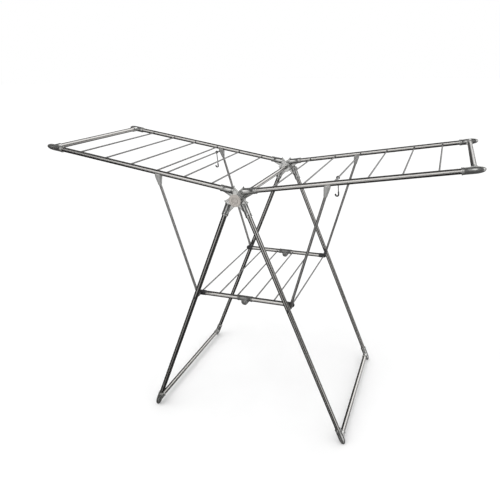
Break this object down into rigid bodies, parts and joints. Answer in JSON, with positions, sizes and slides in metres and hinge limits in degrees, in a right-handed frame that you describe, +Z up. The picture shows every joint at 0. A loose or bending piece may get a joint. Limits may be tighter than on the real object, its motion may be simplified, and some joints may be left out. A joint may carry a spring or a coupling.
{
  "type": "clothes drying rack",
  "caption": "Folding clothes drying rack with two raised wings on round hubs, splayed tube legs, a hinged lower shelf, wing struts and wire hooks.",
  "frame": {"origin": "on the floor, midway between the four feet and straight below the hub axis", "axes": "+Z up, +X along the wings' span, +Y along the hub axis from the near end to the far end"},
  "size_m": [1.4122, 0.576, 0.9887],
  "materials": {
    "tube_steel": "polished stainless, drawn along the tube",
    "rod_steel": "bright drawn wire",
    "pin_steel": "turned, satin",
    "socket_plastic": "silver-grey moulded, semi-gloss",
    "cap_plastic": "pale warm grey moulded, satin",
    "clip_plastic": "pale grey moulded, satin",
    "dark_plastic": "dark grey moulded, satin"
  },
  "bodies": {
    "leg_frame_left": {"spine_tube": "tube_steel", "hub_axles": "pin_steel", "hub_cap_near": "cap_plastic", "hub_cap_far": "cap_plastic", "hub_buttons": "cap_plastic", "leg_tube_left_near": "tube_steel", "leg_tube_left_far": "tube_steel", "foot_tube_left": "tube_steel", "foot_corner_left_near": "socket_plastic", "foot_corner_left_far": "socket_plastic", "leg_socket_left_near": "socket_plastic", "leg_socket_left_far": "socket_plastic", "pivot_pins_left": "dark_plastic"},
    "leg_frame_right": {"leg_tube_right_near": "tube_steel", "leg_tube_right_far": "tube_steel", "foot_tube_right": "tube_steel", "foot_corner_right_near": "socket_plastic", "foot_corner_right_far": "socket_plastic", "leg_socket_right_near": "socket_plastic", "leg_socket_right_far": "socket_plastic", "pivot_pins_right": "dark_plastic"},
    "wing_left": {"wing_rail_left_near": "tube_steel", "wing_rail_left_far": "tube_steel", "wing_end_tube_left": "tube_steel", "wing_corner_left_near": "socket_plastic", "wing_corner_left_far": "socket_plastic", "wing_socket_left_near": "socket_plastic", "wing_socket_left_far": "socket_plastic", "wing_rods_left": "rod_steel"},
    "wing_right": {"wing_rail_right_near": "tube_steel", "wing_rail_right_far": "tube_steel", "wing_end_tube_right": "tube_steel", "wing_corner_right_near": "socket_plastic", "wing_corner_right_far": "socket_plastic", "wing_socket_right_near": "socket_plastic", "wing_socket_right_far": "socket_plastic", "wing_rods_right": "rod_steel"},
    "shelf_left": {"shelf_rail_left_near": "tube_steel", "shelf_rail_left_far": "tube_steel", "shelf_rods_left": "rod_steel", "shelf_hinges_left": "socket_plastic", "shelf_ends_left": "dark_plastic", "shelf_hinge_pins": "pin_steel"},
    "shelf_right": {"shelf_rail_right_near": "tube_steel", "shelf_rail_right_far": "tube_steel", "shelf_rods_right": "rod_steel", "shelf_hinges_right": "socket_plastic", "shelf_ends_right": "dark_plastic"},
    "strut_frame_left": {"strut_left_near": "rod_steel", "strut_left_far": "rod_steel", "strut_clips_left": "clip_plastic", "cross_rod_left": "rod_steel"},
    "strut_frame_right": {"strut_right_near": "rod_steel", "strut_right_far": "rod_steel", "strut_clips_right": "clip_plastic", "cross_rod_right": "rod_steel"},
    "hook_left": {"hook_left": "rod_steel"},
    "hook_right": {"hook_right": "rod_steel"}
  },
  "joints": [
    {"name": "leg_fold", "type": "hinge", "parent": "leg_frame_left", "child": "leg_frame_right", "pos_m": [0, 0, 0.85], "axis": [0, 1, 0], "range_deg": [0, 44.6]},
    {"name": "shelf_left_pivot", "type": "hinge", "parent": "leg_frame_left", "child": "shelf_left", "pos_m": [-0.1671, 0, 0.49106], "axis": [0, -1, 0], "range_deg": [0, 65]},
    {"name": "shelf_middle_hinge", "type": "hinge", "parent": "shelf_left", "child": "shelf_right", "pos_m": [0, 0, 0.48076], "axis": [0, 1, 0], "range_deg": [0, 174.5]},
    {"name": "wing_left_hub", "type": "hinge", "parent": "leg_frame_left", "child": "wing_left", "pos_m": [0, 0, 0.85], "axis": [0, -1, 0], "range_deg": [0, 74.3]},
    {"name": "wing_right_hub", "type": "hinge", "parent": "leg_frame_right", "child": "wing_right", "pos_m": [0, 0, 0.85], "axis": [0, 1, 0], "range_deg": [0, 74.3]},
    {"name": "strut_left_pivot", "type": "hinge", "parent": "leg_frame_left", "child": "strut_frame_left", "pos_m": [-0.1671, 0, 0.49106], "axis": [0, -1, 0], "range_deg": [0, 141.9]},
    {"name": "strut_right_pivot", "type": "hinge", "parent": "leg_frame_right", "child": "strut_frame_right", "pos_m": [0.1671, 0, 0.49106], "axis": [0, 1, 0], "range_deg": [0, 141.9]},
    {"name": "hook_left_swing", "type": "hinge", "parent": "strut_frame_left", "child": "hook_left", "pos_m": [-0.28344, 0, 0.90138], "axis": [0, -1, 0], "range_deg": [-60, 60]},
    {"name": "hook_right_swing", "type": "hinge", "parent": "strut_frame_right", "child": "hook_right", "pos_m": [0.28344, 0, 0.90138], "axis": [0, 1, 0], "range_deg": [-60, 60]}
  ],
  "couplings": [
    {"joint": "shelf_left_pivot", "follows": "leg_fold", "ratio": 1.4555},
    {"joint": "shelf_middle_hinge", "follows": "leg_fold", "ratio": 3.9111},
    {"joint": "strut_left_pivot", "follows": "wing_left_hub", "ratio": 1.9094},
    {"joint": "strut_right_pivot", "follows": "wing_right_hub", "ratio": 1.9094}
  ]
}
